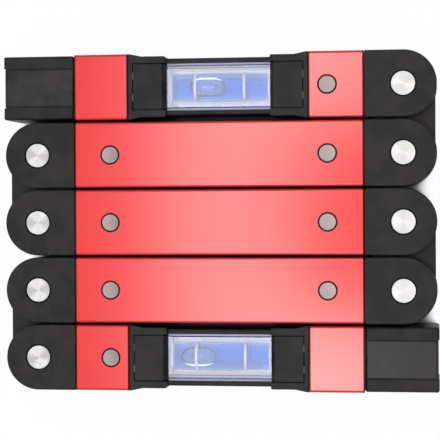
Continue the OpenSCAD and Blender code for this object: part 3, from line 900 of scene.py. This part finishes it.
def face_slot(face, middle, wide, bore_r, bore_len, sizes):
    """Which finish a face of a clear block takes, by its place and normal."""
    from_middle = face.center - middle
    if (math.hypot(from_middle.y, from_middle.z) < bore_r
            and abs(from_middle.x) < bore_len / 2 + sizes.bore_gap):
        return BORE_FACE
    faces_up = abs(face.normal.z)
    beside_face = abs(from_middle.y) > wide / 2 - 2 * sizes.ledge_w
    if faces_up > CHAMFER_FACES_UP and beside_face and abs(from_middle.z) > sizes.snap_w:
        return LEDGE_FACE if faces_up > LEDGE_FACES_UP else CHAMFER_FACE
    return CLEAR_FACE


def block_and_spirit(arm, sizes, finishes_by_slot):
    """A clear block with raised faces, ledges, snap ribs and a barrel bore, and the spirit in the bore."""
    low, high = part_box(f"vial_block_{arm}")
    middle, size = (low + high) / 2, high - low
    spirit_low, spirit_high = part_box(f"vial_spirit_{arm}")
    spirit_r, spirit_len = (spirit_high.y - spirit_low.y) / 2, spirit_high.x - spirit_low.x
    bore_r, bore_len = spirit_r + sizes.bore_gap, spirit_len + 2 * sizes.bore_gap
    wide = size.y - 2 * sizes.snap_h
    block = bar(f"clear_block_{arm}", middle, (size.x, wide, size.z - 2 * sizes.ledge_depth))
    raised = bar("raised_faces", middle, (size.x, wide - 2 * sizes.ledge_w, size.z))
    chamfer_along_x(raised, LEDGE_CHAMFER_SHARE * sizes.ledge_depth)
    join_or_cut(block, raised, "UNION")
    join_or_cut(block, bar("snap_ribs", middle, (size.x, size.y, sizes.snap_w)), "UNION")
    join_or_cut(block, barrel("bore_cutter", sizes, middle, bore_r, bore_len), "DIFFERENCE")
    finish_with(block, *finishes_by_slot)
    for face in block.data.polygons:
        face.material_index = face_slot(face, middle, wide, bore_r, bore_len, sizes)
    smooth(block, degrees=25)
    spirit = barrel(f"blue_spirit_{arm}", sizes, middle, spirit_r, spirit_len)
    smooth(spirit, degrees=40)
    return block, spirit


class LEVEL_OT_make_vials(Operator):
    """Make the clear vial blocks and the spirit in them"""

    bl_idname = "level.make_vials"
    bl_label = "Make the vials"

    def execute(self, context):
        sizes, finishes = context.scene.level_sizes, context.scene.level_finishes
        finishes_by_slot = (acrylic(finishes), bore_wall(), *ground_acrylic(finishes))
        blue = blue_spirit(finishes)
        # The reading rings get a painted glow, to look lit through the spirit.
        white = plain_plastic("reading white", finishes.ring_white, roughness=0.5, glow=0.2)
        for arm in END_ARMS:
            block, spirit = block_and_spirit(arm, sizes, finishes_by_slot)
            stand_for(block, f"arm_{arm}", "acrylic", f"vial_block_{arm}", f"vial_plug_{arm}")
            finish_with(spirit, blue)
            stand_for(spirit, f"arm_{arm}", "spirit", f"vial_spirit_{arm}")
            finish_with(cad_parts[f"vial_rings_{arm}"], white)
        return {"FINISHED"}


def lofted_bubble(name, half, tall, sizes):
    """A bubble lofted along X: a flat-bottomed section is extruded from one round end to the other."""
    radius = (half.y ** 2 + tall ** 2) / (2 * tall)
    turns = [BUBBLE_END_TURN * step / BUBBLE_END_STEPS for step in range(BUBBLE_END_STEPS + 1)]
    power = 2 / sizes.bubble_fullness
    right = [(half.x - sizes.bubble_end + sizes.bubble_end * math.sin(turn) ** power, math.cos(turn) ** power)
             for turn in turns]
    stations = [(-place, scale) for place, scale in reversed(right)] + right
    deselect_all()
    bpy.ops.mesh.primitive_circle_add(vertices=BUBBLE_SECTION_POINTS, radius=radius, fill_type="NGON",
                                      location=(0, 0, tall - radius), rotation=(0, math.pi / 2, 0))
    piece = named(bpy.context.object, name)
    apply_place(piece)
    bpy.ops.object.mode_set(mode="EDIT")
    bpy.ops.mesh.select_all(action="SELECT")
    bpy.ops.mesh.bisect(plane_co=(0, 0, 0), plane_no=(0, 0, 1), clear_inner=True)
    bpy.ops.mesh.select_all(action="SELECT")
    place, scale = stations[0]
    bpy.ops.transform.translate(value=(place, 0, 0))
    bpy.ops.transform.resize(value=(1, scale, scale), center_override=(place, 0, 0))
    for next_place, next_scale in stations[1:]:
        bpy.ops.mesh.extrude_region_move(TRANSFORM_OT_translate={"value": (next_place - place, 0, 0)})
        grow = next_scale / scale
        bpy.ops.transform.resize(value=(1, grow, grow), center_override=(next_place, 0, 0))
        place, scale = next_place, next_scale
    bpy.ops.object.mode_set(mode="OBJECT")
    return piece


class LEVEL_OT_make_bubbles(Operator):
    """Make the air bubbles, domed under the bore and flat below"""

    bl_idname = "level.make_bubbles"
    bl_label = "Make the bubbles"

    def execute(self, context):
        sizes = context.scene.level_sizes
        finish = air_bubble(context.scene.level_finishes)
        for arm in END_ARMS:
            low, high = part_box(f"vial_bubble_{arm}")
            low.z -= sizes.bubble_sink
            bubble = lofted_bubble(f"air_bubble_{arm}", (high - low) / 2, high.z - low.z, sizes)
            bubble.location = ((low.x + high.x) / 2, (low.y + high.y) / 2, low.z)
            apply_place(bubble)
            face_outwards(bubble)
            smooth(bubble, degrees=60)
            finish_with(bubble, finish)
            stand_for(bubble, f"bubble_{arm}", "air", f"vial_bubble_{arm}")
        return {"FINISHED"}


def soft_lamp(name, place, width, depth, brightness):
    """A soft lamp that faces straight down. Its brightness is set against a plain white of 1."""
    data = bpy.data.lights.new(name, "AREA")
    data.shape = "RECTANGLE"
    data.size, data.size_y = width, depth
    data.energy = brightness * math.pi * width * depth
    lamp = bpy.data.objects.new(name, data)
    bpy.context.scene.collection.objects.link(lamp)
    lamp.location = place
    lamp.visible_camera = False


def table_glow(make, stage, opened):
    """Share and brightness of plain white where the table is seen, in a mirror or through glass too."""
    path = make.add("ShaderNodeLightPath").outputs
    mirrored = make.math("MAXIMUM", path["Is Camera Ray"], path["Is Glossy Ray"])
    plain = make.math("MULTIPLY", make.math("MULTIPLY", mirrored, opened), stage.table_glow)
    through = path["Is Transmission Ray"]
    # Painted shade: seen through glass, the table is dimmed where the occlusion mask finds it closed in.
    shaded = make.math("MULTIPLY", through, make.math("SUBTRACT", 1.0, opened))
    return make.math("MAXIMUM", plain, through), make.span(shaded, 0.0, 1.0, 1.0, stage.table_under)


def table_material(stage):
    """White table that keeps a soft shadow, with painted shade in its colour where an occlusion mask finds
    narrow gaps.
    """
    material = bpy.data.materials.new("white table")
    make = empty_nodes(material)
    matt = make.add("ShaderNodeBsdfDiffuse")
    shade = make.add("ShaderNodeAmbientOcclusion", samples=24)
    shade.inputs["Distance"].default_value = stage.shade_reach
    opened = make.span(shade.outputs["AO"], SHADE_FULL, SHADE_END, 0.0, 1.0)
    # Painted shade: the occlusion mask darkens the table's colour in narrow gaps.
    white = make.mix(opened, solid(stage.table_shade), solid(stage.table_white))
    make.feed(white, matt.inputs["Color"])
    share_of_white, brightness = table_glow(make, stage, opened)
    glow = make.add("ShaderNodeEmission")
    make.feed(brightness, glow.inputs["Strength"])
    both = make.mix_shaders(share_of_white, matt.outputs[0], glow.outputs[0])
    make.feed(both, make.add("ShaderNodeOutputMaterial").inputs["Surface"])
    return material


class LEVEL_OT_set_stage(Operator):
    """Set the table, the lamps and the camera"""

    bl_idname = "level.set_stage"
    bl_label = "Set the stage"

    def execute(self, context):
        scene, stage = context.scene, context.scene.level_stage
        deselect_all()
        bpy.ops.mesh.primitive_plane_add(size=stage.table_side, location=(0, 0, -stage.table_drop))
        table = named(bpy.context.object, "table")
        finish_with(table, table_material(stage))

        scene.world = bpy.data.worlds.new("white room")
        make = empty_nodes(scene.world)
        room = make.add("ShaderNodeBackground")
        room.inputs["Color"].default_value = (1.0, 1.0, 1.0, 1.0)
        camera_ray = make.add("ShaderNodeLightPath").outputs["Is Camera Ray"]
        make.feed(make.span(camera_ray, 0.0, 1.0, stage.room_light, 1.0), room.inputs["Strength"])
        make.feed(room.outputs[0], make.add("ShaderNodeOutputWorld").inputs["Surface"])

        for lamp in LAMPS:
            soft_lamp(*lamp)

        data = bpy.data.cameras.new("camera")
        data.sensor_fit, data.sensor_width = "HORIZONTAL", SENSOR_WIDTH
        data.lens = stage.camera_lens
        data.clip_start, data.clip_end = NEAREST_SEEN, FARTHEST_SEEN
        camera = bpy.data.objects.new("camera", data)
        scene.collection.objects.link(camera)
        turn_x, turn_y, turn_z = stage.camera_turn
        to_camera = (Matrix.Rotation(turn_z, 3, "Z") @ Matrix.Rotation(turn_y, 3, "Y")
                     @ Matrix.Rotation(turn_x, 3, "X"))
        camera.matrix_world = Matrix.LocRotScale(stage.camera_place, to_camera.transposed(), None)
        scene.camera = camera
        scene.view_settings.view_transform = "Standard"
        return {"FINISHED"}


STEPS = (LEVEL_OT_dress_tubes, LEVEL_OT_dress_mouldings, LEVEL_OT_dress_washers, LEVEL_OT_make_pins,
         LEVEL_OT_make_rivets, LEVEL_OT_make_vials, LEVEL_OT_make_bubbles, LEVEL_OT_set_stage)


class LEVEL_PT_panel(Panel):
    """Steps and settings of the folding level"""

    bl_idname = "LEVEL_PT_panel"
    bl_label = "Folding spirit level"
    bl_space_type = "VIEW_3D"
    bl_region_type = "UI"
    bl_category = "Level"

    def draw(self, context):
        for step in STEPS:
            self.layout.operator(step.bl_idname)
        for group in (context.scene.level_finishes, context.scene.level_sizes, context.scene.level_stage):
            box = self.layout.box()
            for name in group.__annotations__:
                box.prop(group, name)


GROUPS = {"level_finishes": LevelFinishes, "level_sizes": LevelSizes, "level_stage": LevelStage}
CLASSES = (*GROUPS.values(), *STEPS, LEVEL_PT_panel)


def register():
    """Make the settings, operators and panel known to Blender."""
    for cls in CLASSES:
        bpy.utils.register_class(cls)
    for name, group in GROUPS.items():
        setattr(bpy.types.Scene, name, PointerProperty(type=group))


def unregister():
    """Take the settings, operators and panel out again."""
    for name in GROUPS:
        delattr(bpy.types.Scene, name)
    for cls in reversed(CLASSES):
        bpy.utils.unregister_class(cls)


def main():
    """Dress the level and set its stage."""
    register()
    bpy.ops.level.dress_tubes()
    bpy.ops.level.dress_mouldings()
    bpy.ops.level.dress_washers()
    bpy.ops.level.make_pins()
    bpy.ops.level.make_rivets()
    bpy.ops.level.make_vials()
    bpy.ops.level.make_bubbles()
    bpy.ops.level.set_stage()


if __name__ == "__main__":
    main()
